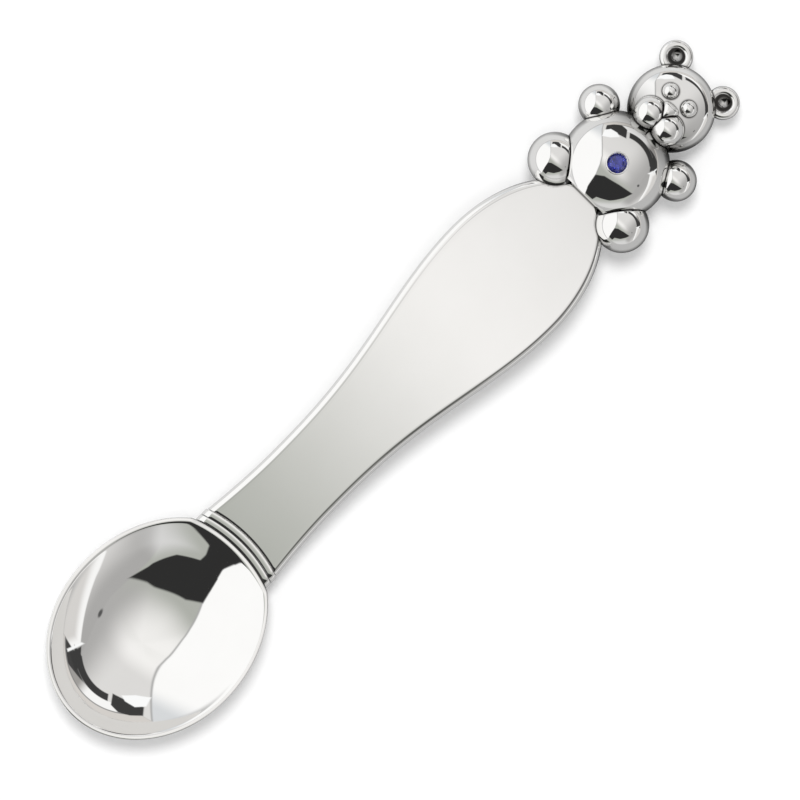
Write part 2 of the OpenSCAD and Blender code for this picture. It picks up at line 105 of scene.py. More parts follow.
TORSO_HEIGHT = max(oval_reach(TORSO), oval_reach(HEAD) + HEAD_CENTRE * math.sin(BEAR_TILT)) - REST_FLAT
ARCH_RUN = COLLAR_END - TORSO_PLACE
ARCH_RISE = NECK_HEIGHT - TORSO_HEIGHT
ARCH_RADIUS = -(ARCH_RUN ** 2 + ARCH_RISE ** 2) / (
    2 * (ARCH_RUN * math.sin(BEAR_TILT) + ARCH_RISE * math.cos(BEAR_TILT)))
ARCH_MIDDLE = TORSO_PLACE - ARCH_RADIUS * math.sin(BEAR_TILT)
ARCH_BASE = TORSO_HEIGHT - ARCH_RADIUS * math.cos(BEAR_TILT)
BEAR_FRAME = Matrix.Translation((TORSO_PLACE - MIDDLE, 0, TORSO_HEIGHT)) @ Matrix.Rotation(BEAR_TILT, 4, "Y")


def arch_height(place):
    """Height of the handle's middle line."""
    return ARCH_BASE + np.sqrt(ARCH_RADIUS ** 2 - (place - ARCH_MIDDLE) ** 2)


def bow(across):
    """How far the collar's arc falls back at a distance across, as a negative length."""
    return np.sqrt(COLLAR_RADIUS ** 2 - across ** 2) - COLLAR_RADIUS


def ease(share):
    """Smooth rise from 0 to 1."""
    return (1 - np.cos(np.pi * np.clip(share, 0, 1))) / 2


# Meshes

def loft(rings, looped=False, start=None, end=None):
    """Points and faces of a skin through rings of equal counts. A start or end point closes it with a fan."""
    count = len(rings[0])
    points = [tuple(p) for ring in rings for p in ring]
    faces = []
    for r in range(len(rings) if looped else len(rings) - 1):
        here, above = r * count, (r + 1) % len(rings) * count
        for j in range(count):
            k = (j + 1) % count
            faces.append((here + j, here + k, above + k, above + j))
    for tip, base, forward in ((start, 0, False), (end, (len(rings) - 1) * count, True)):
        if tip is None:
            continue
        points.append(tuple(tip))
        for j in range(count):
            a, b = base + j, base + (j + 1) % count
            faces.append((a, b, len(points) - 1) if forward else (b, a, len(points) - 1))
    return points, faces


def make_mesh(name, points, faces, placed=None):
    """Mesh in metres from points in millimetres, set on the table and facing outwards."""
    mesh = bpy.data.meshes.new(name)
    mesh.from_pydata(points, [], faces)
    if placed is not None:
        mesh.transform(placed)
    for vertex in mesh.vertices:
        vertex.co.z = max(vertex.co.z, 0)
    mesh.transform(Matrix.Scale(MM, 4))
    work = bmesh.new()
    work.from_mesh(mesh)
    bmesh.ops.recalc_face_normals(work, faces=work.faces)
    work.to_mesh(mesh)
    work.free()
    return mesh


def carve(mesh, cutters):
    """Cuts meshes out of a mesh."""
    scene = bpy.context.scene
    body = bpy.data.objects.new("carved", mesh)
    scene.collection.objects.link(body)
    tools = [bpy.data.objects.new("cutter", cutter) for cutter in cutters]
    for tool in tools:
        scene.collection.objects.link(tool)
        cut = body.modifiers.new("cut", "BOOLEAN")
        cut.operation = "DIFFERENCE"
        cut.solver = "EXACT"
        cut.object = tool
    bpy.context.view_layer.update()
    result = bpy.data.meshes.new_from_object(body.evaluated_get(bpy.context.evaluated_depsgraph_get()))
    for temporary in [body] + tools:
        bpy.data.objects.remove(temporary)
    return result


def bend(before, corner, after, steps):
    """Rings that round off a corner between two rings."""
    shares = np.linspace(0, 1, steps)
    return [(1 - t) ** 2 * before + 2 * t * (1 - t) * corner + t * t * after for t in shares]


# Bowl

def soft_min(first, second, blend):
    """The lesser of two values, rounded off where they are nearly equal."""
    return np.minimum(first, second) - np.maximum(0, blend - np.abs(first - second)) ** 2 / (4 * blend)


def bowl_plan(angles):
    """Vectors from the deepest place to the bowl's edge, and lengths to the same edge with soft corners."""
    half = np.where(np.cos(angles) > 0, BOWL_LENGTH + BOWL_OVERRUN - BOWL_WIDEST, BOWL_WIDEST)
    plan = np.stack([BOWL_WIDEST - BOWL_DEEPEST + half * np.cos(angles), BOWL_WIDTH / 2 * np.sin(angles)], 1)
    inside = BOWL_DEEPEST - BOWL_LENGTH + COLLAR_RADIUS
    square = (plan ** 2).sum(1)
    along = inside * plan[:, 0]
    reach = (np.sqrt(along ** 2 + square * (COLLAR_RADIUS ** 2 - inside ** 2)) - along) / square
    return plan * np.minimum(1, reach)[:, None], np.sqrt(square) * soft_min(1, reach, CORNER_BLEND)


def bowl_mesh():
    """The bowl: its hollow, a rim that is rounded on both sides, and its underside."""
    sides, hollow_rings, round_steps = 288, 72, 12
    inner_round, outer_round = 0.22, 0.18
    angles = np.linspace(0, 2 * np.pi, sides, endpoint=False)
    plan, soft_length = bowl_plan(angles)
    length = np.hypot(plan[:, 0], plan[:, 1])
    heel = np.maximum(0, np.cos(angles)) ** 2
    tip = np.minimum(0, np.cos(angles)) ** 2
    power = SIDE_BEND + (HEEL_BEND - SIDE_BEND) * heel + (TIP_BEND - SIDE_BEND) * tip

    def hollow_height(distance):
        share = distance / (soft_length - RIM_WIDTH)
        lip = np.maximum(0, share - LIP_START) ** 2 * LIP_BEND * heel
        rise = (share ** power - lip) / (1 - LIP_BEND * heel * (1 - LIP_START) ** 2)
        return FLOOR_TOP + (RIM_HEIGHT - HEEL_DIP * heel - FLOOR_TOP) * rise

    rim = hollow_height(length - RIM_WIDTH)
    band = ease((HEEL_ANGLE - np.minimum(angles, 2 * np.pi - angles)) / HEEL_FADE)
    edge = RIM_EDGE + (HANDLE_THICKNESS + HEEL_COVER - RIM_EDGE) * band

    def ring(inset, height):
        xy = plan * (1 - inset / length)[:, None]
        return np.column_stack([BOWL_DEEPEST - MIDDLE + xy[:, 0], xy[:, 1], height])

    def hollow(share):
        distance = (length - RIM_WIDTH) * share
        return ring(length - distance, hollow_height(distance))

    def under(share):
        rise = (rim - edge + REST_FLAT) * (share * length / soft_length) ** power
        return ring(length * (1 - share), rise - REST_FLAT)

    inner_share = 1 - inner_round / (length - RIM_WIDTH)
    outer_share = 1 - outer_round / length
    rings = [hollow(s * inner_share) for s in np.linspace(0, 1, hollow_rings)[1:-1]]
    rings += bend(hollow(inner_share), ring(RIM_WIDTH, rim), ring(RIM_WIDTH - inner_round, rim), round_steps)
    rings += bend(ring(outer_round, rim), ring(0, rim), ring(0, rim - outer_round), round_steps)
    low_edge = under(np.ones(sides))
    rings += bend(low_edge + (0, 0, outer_round), low_edge, under(outer_share), round_steps)
    rings += [under(s * outer_share) for s in np.linspace(1, 0, hollow_rings)[1:-1]]
    place = BOWL_DEEPEST - MIDDLE
    return make_mesh("bowl", *loft(rings, start=(place, 0, FLOOR_TOP), end=(place, 0, 0)))


# Collar and handle

CORNER_INSET = 0.04


def bar_section(half_width, half_height, corner, corner_steps=10, flat_steps=24):
    """Outline of a flat bar with round corners, as points across and up."""
    turn = np.linspace(0, np.pi / 2, corner_steps + 1)
    reach = half_width - corner
    flat = np.linspace(-1, 1, flat_steps + 1) * (reach - CORNER_INSET)
    top = np.concatenate([
        np.column_stack([-reach - corner * np.cos(turn), half_height - corner + corner * np.sin(turn)]),
        np.column_stack([flat, np.full(len(flat), half_height)]),
        np.column_stack([reach + corner * np.sin(turn), half_height - corner + corner * np.cos(turn)]),
    ])
    return np.concatenate([top, top[::-1] * (1, -1)])


def bar_ring(place, section, share):
    """A section on the arch, with a share of the collar's bow."""
    along = place + share * bow(section[:, 0])
    return np.column_stack([along - MIDDLE, section[:, 0], arch_height(along) + section[:, 1]])


def neck_section(grow):
    """The handle's section at the collar, grown all round."""
    return bar_section(COLLAR_WIDTH / 2 + grow, HANDLE_THICKNESS / 2 + grow, BORDER_RADIUS + grow)


def bead_mesh(order):
    """A bead round the collar, with a broad crown."""
    round_steps, crown = 40, 0.1
    place = BOWL_LENGTH + SOLDER_GAP + (BEAD_WIDTH + SOLDER_GAP) * order + BEAD_WIDTH / 2
    rings = []
    for turn in np.linspace(0, np.pi, round_steps + 1):
        grow = SOLDER_GAP - NECK_INSET + BEAD_RISE * max(0, math.sin(turn)) ** crown
        rings.append(bar_ring(place - BEAD_WIDTH / 2 * math.cos(turn), neck_section(grow), 1))
    return make_mesh("bead", *loft(rings, looped=True))


def handle_half(place):
    """Half the handle's width: from the collar to its waist, to the widest place and to the round end."""
    if place < WAIST_PLACE:
        to_waist = (WAIST_PLACE - place) / WAIST_DISTANCE
        return (WAIST_WIDTH + (COLLAR_WIDTH - WAIST_WIDTH) * to_waist ** 2) / 2
    if place < WIDEST_PLACE:
        to_widest = (place - WAIST_PLACE) / (WIDEST_PLACE - WAIST_PLACE)
        return (WAIST_WIDTH + (PADDLE_WIDTH - WAIST_WIDTH) * ease(to_widest ** PADDLE_SWELL)) / 2
    past = (place - WIDEST_PLACE) / (PADDLE_END + PADDLE_OVERRUN)
    return max(HANDLE_THICKNESS / 2, PADDLE_WIDTH / 2 * math.sqrt(max(0, 1 - past ** 2)))


def neck_share(place):
    """Share of the collar's bow that a section of the handle takes."""
    return np.maximum(0, (WAIST_PLACE - place) / WAIST_DISTANCE) ** 2


def seat_block():
    """A block that fills the space beyond the torso's seat."""
    far = 20
    corners = [(SEAT_PLANE + x, y, z) for x in (0, far) for y in (-far, far) for z in (-far, far)]
    sides = [(0, 1, 3, 2), (4, 6, 7, 5), (0, 4, 5, 1), (2, 3, 7, 6), (0, 2, 6, 4), (1, 5, 7, 3)]
    block = bpy.data.meshes.new("block")
    block.from_pydata(corners, [], sides)
    block.transform(Matrix.Scale(MM, 4) @ BEAR_FRAME)
    return block


def handle_mesh():
    """The arched bar, with a rounded step at the collar, cut to the torso's seat and round the feet."""
    stations, land, land_steps = 200, 0.1, 6
    last_place = COLLAR_END + HANDLE_LENGTH + HANDLE_THICKNESS / 2
    rings = [bar_ring(BOWL_LENGTH + SOLDER_GAP, neck_section(-NECK_INSET), 1)]
    for turn in np.linspace(0, np.pi / 2, land_steps):
        grow = NECK_INSET * (math.sin(turn) - 1)
        rings.append(bar_ring(COLLAR_END + land * (1 - math.cos(turn)), neck_section(grow), 1))
    for place in np.linspace(COLLAR_END + land, last_place, stations)[1:]:
        section = bar_section(handle_half(place), HANDLE_THICKNESS / 2, BORDER_RADIUS)
        rings.append(bar_ring(place, section, neck_share(place)))
    bar = make_mesh("handle", *loft(rings, start=rings[0].mean(0), end=rings[-1].mean(0)))
    balls = [ball_mesh(foot_centre(side), FOOT_RADIUS + SOLDER_GAP) for side in (-1, 1)]
    return carve(bar, [seat_block()] + balls)


# Bear, in a frame of its own: +X to the head, +Y to its left, +Z to its front

def polar(distance, angle, side):
    """A place in the bear's middle plane, at an angle from its upward axis, on its left (1) or right (-1)."""
    return np.array([distance * math.cos(angle), side * distance * math.sin(angle), 0])


def foot_centre(side):
    return polar(TORSO[0] + FOOT_RADIUS - FOOT_SINK, FOOT_ANGLE, side)


def paw_centre(side):
    return polar(TORSO[0] + PAW_RADIUS - PAW_SINK, PAW_ANGLE, side)


def ear_centre(side):
    return HEAD_ORIGIN + polar(EAR_DISTANCE, EAR_ANGLE, side)


def face_height(along, across):
    """Height of the face over the middle plane, at a place measured from the head's centre."""
    return math.sqrt(face_radius(HEAD) ** 2 - along ** 2 - across ** 2) - face_offset(HEAD)


def cheek_centre(side):
    across = side * CHEEK_SPREAD
    return np.array([HEAD_CENTRE - CHEEK_DROP, across, face_height(CHEEK_DROP, across)])


def eye_centre(side):
    across = side * EYE_SPREAD
    return np.array([HEAD_CENTRE + EYE_RISE, across, face_height(EYE_RISE, across) - EYE_BURY * EYE_RADIUS])


def oval_depth(points, oval):
    """Signed distance to an oval: two face arcs joined by a round edge."""
    radius, half, edge = oval
    out, up = np.hypot(points[..., 0], points[..., 1]), np.abs(points[..., 2])
    lifted = up + face_offset(oval)
    on_face = out * face_offset(oval) < (radius - edge) * lifted
    to_face, to_edge = np.hypot(out, lifted) - face_radius(oval), np.hypot(out - radius + edge, up) - edge
    return np.where(on_face, to_face, to_edge)


def ball_depth(centre, radius):
    return lambda points: np.linalg.norm(points - centre, axis=-1) - radius


def torso_depth(points):
    """Signed distance to the torso, flat at the handle and the head."""
    planes = np.maximum(SEAT_PLANE - points[..., 0], points[..., 0] - NECK_PLANE)
    return np.maximum(oval_depth(points, TORSO), planes)


def head_oval(points):
    return oval_depth(points - HEAD_ORIGIN, HEAD)


def head_depth(points):
    """Signed distance to the head, flat at the torso."""
    return np.maximum(head_oval(points), NECK_PLANE + SOLDER_GAP - points[..., 0])


# Steps of the search along a ray and of the search for an edge, and limits of lengths and directions.
MARCH_STEPS, BISECT_STEPS = 70, 44
FAR, NEVER, TINY, TOUCHING = 50, 1e6, 1e-9, 1e-8
UPRIGHT = 0.9


def to_surface(depth, gap=0.0):
    """Distance from an origin, along rays, to where a signed distance reaches a gap."""
    def reach(origin, rays):
        far = np.zeros(rays.shape[:-1])
        forward = 1 if depth(origin) > gap else -1
        for _ in range(MARCH_STEPS):
            far += forward * (depth(origin + far[..., None] * rays) - gap)
        return np.where(far < FAR, far, FAR)
    return reach


def to_ball(centre, radius):
    """Distance from an origin inside a ball, along rays, to its surface."""
    def reach(origin, rays):
        offset = origin - centre
        along = rays @ offset
        return np.sqrt(along ** 2 + radius ** 2 - offset @ offset) - along
    return reach


def to_plane(place):
    """Distance from an origin, along rays, to a plane across the bear's upward axis."""
    def reach(origin, rays):
        run = (place - origin[0]) / np.where(np.abs(rays[..., 0]) > TINY, rays[..., 0], TINY)
        return np.where(run > 0, run, NEVER)
    return reach


def ray_solid(origin, axis, surfaces, counts, meridians):
    """A solid that is star-shaped about an origin. From the axis round to its other end, the rays
    meet the surfaces in the order given, and a ring of points lies on each edge between them."""
    axis = np.asarray(axis, float) / np.linalg.norm(axis)
    side = np.cross(axis, (0, 0, 1) if abs(axis[2]) < UPRIGHT else (1, 0, 0))
    side /= np.linalg.norm(side)
    other = np.cross(axis, side)
    turn = np.linspace(0, 2 * np.pi, meridians, endpoint=False)[:, None]
    around = np.cos(turn) * side + np.sin(turn) * other

    def rays(lean):
        return np.cos(lean)[..., None] * axis + np.sin(lean)[..., None] * around

    def edge_after(order):
        low, high = np.zeros(meridians), np.full(meridians, np.pi)
        for _ in range(BISECT_STEPS):
            middle = (low + high) / 2
            reached = np.stack([surface(origin, rays(middle)) for surface in surfaces])
            before = reached.argmin(0) <= order
            low, high = np.where(before, middle, low), np.where(before, high, middle)
        return (low + high) / 2

    between = [edge_after(order) for order in range(len(surfaces) - 1)]
    edges = [np.zeros(meridians)] + between + [np.full(meridians, np.pi)]
    rings = []
    for order, surface in enumerate(surfaces):
        for share in np.linspace(0, 1, counts[order] + 1)[1:]:
            lean = edges[order] + (edges[order + 1] - edges[order]) * share
            direction = rays(lean)
            rings.append(origin + surface(origin, direction)[:, None] * direction)
    ends = [origin + surfaces[i](origin, s * axis[None]) * s * axis for i, s in ((0, 1), (-1, -1))]
    return loft(rings[:-1], start=ends[0].ravel(), end=ends[1].ravel())


def bear_mesh(name, points, faces):
    return make_mesh(name, points, faces, BEAR_FRAME)


def ball_mesh(centre, radius, sides=128):
    lean = np.linspace(0, np.pi, sides // 2 + 1)[1:-1]
    turn = np.linspace(0, 2 * np.pi, sides, endpoint=False)
    rings = [centre + radius * np.column_stack([np.sin(a) * np.cos(turn), np.sin(a) * np.sin(turn),
                                                np.full(sides, np.cos(a))]) for a in lean]
    up = np.array([0, 0, radius])
    return bear_mesh("ball", *loft(rings, start=centre + up, end=centre - up))


def torso_mesh():
    """The torso, with a hole for the ring and the stone's point."""
    rings, meridians, above = (8, 110, 8), 224, 1
    surfaces = [to_plane(NECK_PLANE), to_surface(lambda p: oval_depth(p, TORSO)), to_plane(SEAT_PLANE)]
    blank = bear_mesh("torso", *ray_solid(np.zeros(3), (1, 0, 0), surfaces, rings, meridians))
    wall, floor = BEZEL_OUTER + SOLDER_GAP, -BEZEL_HEIGHT - SOLDER_GAP
    hole = [(wall, above), (wall, floor), (GIRDLE, floor)]
    seat = turned_mesh("seat", hole, STONE_PLACE, start=(0, above), end=(0, floor - PAVILION))
    return carve(blank, [seat])


def head_mesh():
    rings, meridians = (120, 8), 224
    surfaces = [to_surface(head_oval), to_plane(NECK_PLANE + SOLDER_GAP)]
    return bear_mesh("head", *ray_solid(HEAD_ORIGIN, (1, 0, 0), surfaces, rings, meridians))


def grown_head():
    """The head's oval, grown by the gap of a soldered seam."""
    rings, meridians = (96,), 160
    return bear_mesh("grown", *ray_solid(HEAD_ORIGIN, (1, 0, 0), [to_surface(head_oval, SOLDER_GAP)],
                                         rings, meridians))


def limb_mesh(centre, radius):
    """A ball let into the torso."""
    rings, meridians = (72, 8), 144
    surfaces = [to_ball(centre, radius), to_surface(torso_depth, SOLDER_GAP)]
    return bear_mesh("limb", *ray_solid(centre, centre, surfaces, rings, meridians))


def bear_depth(points):
    return np.minimum(torso_depth(points), head_depth(points))


def dome_mesh(centre, radius):
    """A ball let into the face of the head, and clear of the torso."""
    rings, meridians = (56, 8), 128
    origin = centre + (0, 0, radius / 2)
    surfaces = [to_ball(centre, radius), to_surface(bear_depth, SOLDER_GAP)]
    return bear_mesh("dome", *ray_solid(origin, (0, 0, 1), surfaces, rings, meridians))


def cheek_mesh(side):
    """Half of the muzzle: a dome cut off at the bear's middle."""
    mesh = dome_mesh(cheek_centre(side), CHEEK_RADIUS)
    work = bmesh.new()
    work.from_mesh(mesh)
    everything = work.verts[:] + work.edges[:] + work.faces[:]
    cut = bmesh.ops.bisect_plane(work, geom=everything, dist=TOUCHING, clear_inner=True,
                                 plane_co=(0, side * SOLDER_GAP / 2 * MM, 0), plane_no=(0, side, 0))
    border = [item for item in cut["geom_cut"] if isinstance(item, bmesh.types.BMEdge)]
    bmesh.ops.edgeloop_fill(work, edges=border)
    bmesh.ops.recalc_face_normals(work, faces=work.faces)
    work.to_mesh(mesh)
    work.free()
    return mesh


# The nose: how its faces blend, how far its sides spread, the distances of its faces from its origin, how
# far the origin is shifted to the mouth, and how far the painted shadow line round the nose reaches onto the
# face.
NOSE_ROUNDNESS, NOSE_SPREAD = 2, math.radians(28.6)
NOSE_BACK, NOSE_TOP, NOSE_UNDER, NOSE_SIDE, NOSE_SHIFT = 0.8, 0.95, 0.7, 0.96, 0.1
NOSE_SHADOW_WIDTH = 0.16


def nose_form():
    """Origin and upward axis of a rounded triangle that points to the mouth, higher at its tip, and the
    distance from there to its faces along rays."""
    tip_lean = math.atan2(NOSE_TIP_PROUD, NOSE_HEIGHT) / 2
    long_way = np.array([-math.cos(tip_lean), 0, math.sin(tip_lean)])
    up = np.array([math.sin(tip_lean), 0, math.cos(tip_lean)])
    base = np.array([HEAD_CENTRE - NOSE_DROP, 0, face_height(NOSE_DROP, 0) + NOSE_PROUD])
    faces = [(-long_way, NOSE_BACK), (up, NOSE_TOP), (-up, NOSE_UNDER)]
    for side in (-1, 1):
        across = np.array([0, side, 0])
        faces.append((math.sin(NOSE_SPREAD) * long_way + math.cos(NOSE_SPREAD) * across, NOSE_SIDE))

    def pillow(_, rays):
        total = sum(np.maximum(0, rays @ normal / distance) ** NOSE_ROUNDNESS for normal, distance in faces)
        return total ** (-1 / NOSE_ROUNDNESS)

    return base + NOSE_SHIFT * long_way, up, pillow


def nose_depth(points):
    """Signed distance to the nose, grown by the width of the painted shadow line round it."""
    origin, _, pillow = nose_form()
    reach = np.linalg.norm(points - origin, axis=-1)
    return reach - pillow(origin, (points - origin) / reach[..., None]) - NOSE_SHADOW_WIDTH


def nose_mesh():
    """The nose, let into the face over the cheeks."""
    rings, meridians = (40, 6), 96
    cheeks = [ball_depth(cheek_centre(side), CHEEK_RADIUS) for side in (-1, 1)]

    def base_depth(points):
        return np.minimum.reduce([depth(points) for depth in [head_depth] + cheeks])

    origin, up, pillow = nose_form()
    surfaces = [pillow, to_surface(base_depth, SOLDER_GAP)]
    return bear_mesh("nose", *ray_solid(origin, up, surfaces, rings, meridians))


def turned_mesh(name, profile, place, sides=128, start=None, end=None, looped=False):
    """A profile of radii and heights, turned about an upright axis of the bear."""
    turn = np.linspace(0, 2 * np.pi, sides, endpoint=False)
    rings = [place + np.column_stack([radius * np.cos(turn), radius * np.sin(turn), np.full(sides, height)])
             for radius, height in profile]
    ends = [None if tip is None else place + np.array([tip[0], 0, tip[1]]) for tip in (start, end)]
    return bear_mesh(name, *loft(rings, looped=looped, start=ends[0], end=ends[1]))


# The ear's dish: its depth below the middle of the bar, and the angle on the bar where it begins.
EAR_DISH, EAR_LIP = 0.62 * EAR_BAR, math.radians(150)


def ear_mesh(side):
    """A ring of round bar with a dished plate in it, let into the head."""
    dish_rings, bar_rings = 16, 44
    lip, lip_height = EAR_MIDDLE + EAR_BAR * math.cos(EAR_LIP), EAR_BAR * math.sin(EAR_LIP)
    profile = [(lip * share, (lip_height + EAR_DISH) * share ** 2 - EAR_DISH)
               for share in np.linspace(0, 1, dish_rings)[1:-1]]
    profile += [(EAR_MIDDLE + EAR_BAR * math.cos(turn), EAR_BAR * math.sin(turn))
                for turn in np.linspace(EAR_LIP, -np.pi / 2, bar_rings)]
    ear = turned_mesh("ear", profile, ear_centre(side), start=(0, -EAR_DISH), end=(0, -EAR_BAR))
    return carve(ear, [grown_head()])


# Stone and its ring

GIRDLE = STONE_DIAMETER / 2
CROWN, GIRDLE_HEIGHT, PAVILION = (share * STONE_DIAMETER for share in (0.16, 0.04, 0.42))
BEZEL_HEIGHT = CROWN + 2 * GIRDLE_HEIGHT
BEZEL_OUTER = GIRDLE + SOLDER_GAP + BEZEL_WALL
STONE_PLACE = np.array([STONE_RISE, 0, TORSO[1] + STONE_PROUD])
TABLE = 0.56 * GIRDLE


def bezel_mesh():
    """A thin ring with a round upper edge."""
    round_steps = 13
    inner, middle = GIRDLE + SOLDER_GAP, BEZEL_OUTER - BEZEL_WALL / 2
    crown = [(middle - BEZEL_WALL / 2 * math.cos(turn), BEZEL_WALL / 2 * (math.sin(turn) - 1))
             for turn in np.linspace(0, np.pi, round_steps)]
    profile = crown + [(BEZEL_OUTER, -BEZEL_HEIGHT), (inner, -BEZEL_HEIGHT)]
    return turned_mesh("bezel", profile, STONE_PLACE, looped=True)


def stone_mesh():
    """A round brilliant: table, stars, kites and girdle facets over a pointed pavilion."""
    fold = 8
    corners = np.arange(fold) * 2 * np.pi / fold
    between = corners + np.pi / fold
    rounds = np.arange(2 * fold) * np.pi / fold
    half_turn = math.cos(np.pi / fold)
    star, low_star = 0.8 * GIRDLE, 0.3 * GIRDLE
    star_drop = CROWN * (star * half_turn - TABLE) / (GIRDLE - TABLE)
    low = -CROWN - GIRDLE_HEIGHT
    low_drop = PAVILION * (1 - low_star * half_turn / GIRDLE)

    def circle(radius, angles, height):
        heights = np.full(len(angles), height)
        return np.column_stack([radius * np.cos(angles), radius * np.sin(angles), heights])

    rows = [
        circle(TABLE, corners, 0), circle(star, between, -star_drop), circle(GIRDLE, rounds, -CROWN),
        circle(GIRDLE, rounds, low), circle(low_star, between, low - low_drop), [[0, 0, low - PAVILION]],
    ]
    points = np.concatenate(rows) + STONE_PLACE
    tables, stars, girdles, lows, mains, tip = np.cumsum([0] + [len(row) for row in rows[:-1]]).tolist()
    faces = [tuple(range(fold))]
    for k in range(fold):
        following, before = (k + 1) % fold, (k - 1) % fold
        here, mid, there = 2 * k, 2 * k + 1, (2 * k + 2) % (2 * fold)
        faces += [
            (tables + k, tables + following, stars + k),
            (tables + k, stars + k, girdles + here, stars + before),
            (stars + k, girdles + mid, girdles + here),
            (stars + k, girdles + there, girdles + mid),
            (girdles + here, girdles + mid, lows + mid, lows + here),
            (girdles + mid, girdles + there, lows + there, lows + mid),
            (lows + here, lows + mid, mains + k),
            (lows + mid, lows + there, mains + k),
            (lows + here, mains + k, tip, mains + before),
        ]
    return bear_mesh("stone", [tuple(p) for p in points], faces)


# Materials

class Graph:
    """Short calls that add linked nodes to a shader's tree."""

    def __init__(self, tree):
        self.tree = tree
        tree.nodes.clear()

    def add(self, kind, settings=None, **inputs):
        """A new node. Its inputs are given by name, or by i and a number where they share a name."""
        node = self.tree.nodes.new("ShaderNode" + kind)
        for name, value in (settings or {}).items():
            setattr(node, name, value)
        for name, value in inputs.items():
            self.set(node.inputs[int(name[1:]) if name[1:].isdigit() else name.replace("_", " ")], value)
        return node

    def set(self, socket, value):
        if isinstance(value, bpy.types.NodeSocket):
            self.tree.links.new(value, socket)
        else:
            socket.default_value = value

    def math(self, operation, first, second=0.0, third=0.0):
        node = self.add("Math", {"operation": operation}, i0=first, i1=second, i2=third)
        return node.outputs[0]

    def step(self, value, start, end):
        """Smooth step from 0 to 1 between two values."""
        kind = {"interpolation_type": "SMOOTHSTEP"}
        node = self.add("MapRange", kind, Value=value, From_Min=start, From_Max=end)
        return node.outputs["Result"]

    def mix(self, share, first, second):
        node = self.add("Mix", {"data_type": "RGBA"}, Factor=share, i6=first, i7=second)
        return node.outputs[2]


def grey(value, warmth=0.0):
    return (value * (1 + warmth), value, value * (1 - warmth), 1)


WHITE = grey(1.0)
SILVER_DULL, SILVER_BRIGHT = (0.90, 0.895, 0.88, 1), (0.94, 0.935, 0.925, 1)
OXIDE_AND_SHADE_COLOUR = (0.05, 0.047, 0.045, 1)
CLOUD_SCALE, MARK_SCALE = 160.0, (900, 9000, 9000)
LEAST_ROUGHNESS, MARK_ROUGHNESS = 0.015, 0.025
MARK_STRENGTH, MARK_DEPTH = 0.02, 0.002 * MM
STONE_DEEP, STONE_PALE = (0.012, 0.015, 0.16, 1), (0.05, 0.06, 0.40, 1)
ZONE_SCALE, ZONE_LIMITS = 1500.0, (0.35, 0.65)
STONE_ROUGHNESS, STONE_INDEX, STONE_CLEARNESS = 0.03, 1.76, 0.35


def new_material(name):
    material = bpy.data.materials.new(name)
    material.use_nodes = True
    return material, Graph(material.node_tree)


def polished_silver():
    """Polished silver with faint clouding, fine wiping marks, and a darkening attribute: oxidised crevices,
    painted shade, a painted shadow line and painted dark reflection lines.
    """
    material, g = new_material("polished_silver")
    place = g.add("TexCoord").outputs["Object"]
    clouds = g.add("TexNoise", Vector=place, Scale=CLOUD_SCALE, Detail=3.0).outputs["Fac"]
    stretched = g.add("Mapping", Vector=place, Scale=MARK_SCALE).outputs["Vector"]
    marks = g.add("TexNoise", Vector=stretched, Scale=1.0, Detail=2.0).outputs["Fac"]
    # The darkening attribute: oxidised crevices, and painted shade, a painted shadow line and painted dark
    # reflection lines.
    oxide = g.add("Attribute", {"attribute_name": "oxide"}).outputs["Fac"]
    colour = g.mix(oxide, g.mix(clouds, SILVER_DULL, SILVER_BRIGHT), OXIDE_AND_SHADE_COLOUR)
    rough = g.math("MULTIPLY_ADD", marks, MARK_ROUGHNESS, LEAST_ROUGHNESS)
    bump = g.add("Bump", Strength=MARK_STRENGTH, Distance=MARK_DEPTH, Height=marks).outputs["Normal"]
    shader = g.add("BsdfPrincipled", Base_Color=colour, Metallic=1.0, Roughness=rough, Normal=bump)
    g.add("OutputMaterial", Surface=shader.outputs[0])
    return material


def blue_stone():
    """Deep blue, partly clear stone with paler zones."""
    material, g = new_material("blue_stone")
    place = g.add("TexCoord").outputs["Object"]
    zones = g.add("TexNoise", Vector=place, Scale=ZONE_SCALE, Detail=1.0).outputs["Fac"]
    colour = g.mix(g.step(zones, *ZONE_LIMITS), STONE_DEEP, STONE_PALE)
    shader = g.add("BsdfPrincipled", Base_Color=colour, Roughness=STONE_ROUGHNESS, IOR=STONE_INDEX)
    shader.inputs["Transmission Weight"].default_value = STONE_CLEARNESS
    g.add("OutputMaterial", Surface=shader.outputs[0])
    return material


# Camera and stage

SPOON_ANGLE = math.radians(45.32)
CAMERA_DISTANCE, NEAREST = 1.5, 0.01
FRAME_WIDTH = 0.1011
SENSOR = 36
AIM = Vector((-0.06 * MM, -1.52 * MM, 5 * MM))
RIGHT = Vector((math.cos(SPOON_ANGLE), -math.sin(SPOON_ANGLE), 0))
UP = Vector((math.sin(SPOON_ANGLE), math.cos(SPOON_ANGLE), 0))
TABLE_HALF, TABLE_DROP, TABLE_COLOUR = 3, 0.02 * MM, grey(0.8)
CAMERA_GLOW, MIRROR_GLOW = 0.18, 0.04
# Colours of the table in mirrors, on the right and the left, far from the bear and close to it: the right is
# darker as painted light, and the dark close to the bear is a painted shadow.
FLOOR_FADE, FLOOR_SIDES = (-12 * MM, 14 * MM), (grey(0.42), grey(0.64))
CONTACT_SHADOW, CONTACT_SHADOW_SIDES = (0, 11 * MM), (grey(0.03), grey(0.22))
SUN_SPREAD = math.radians(18)


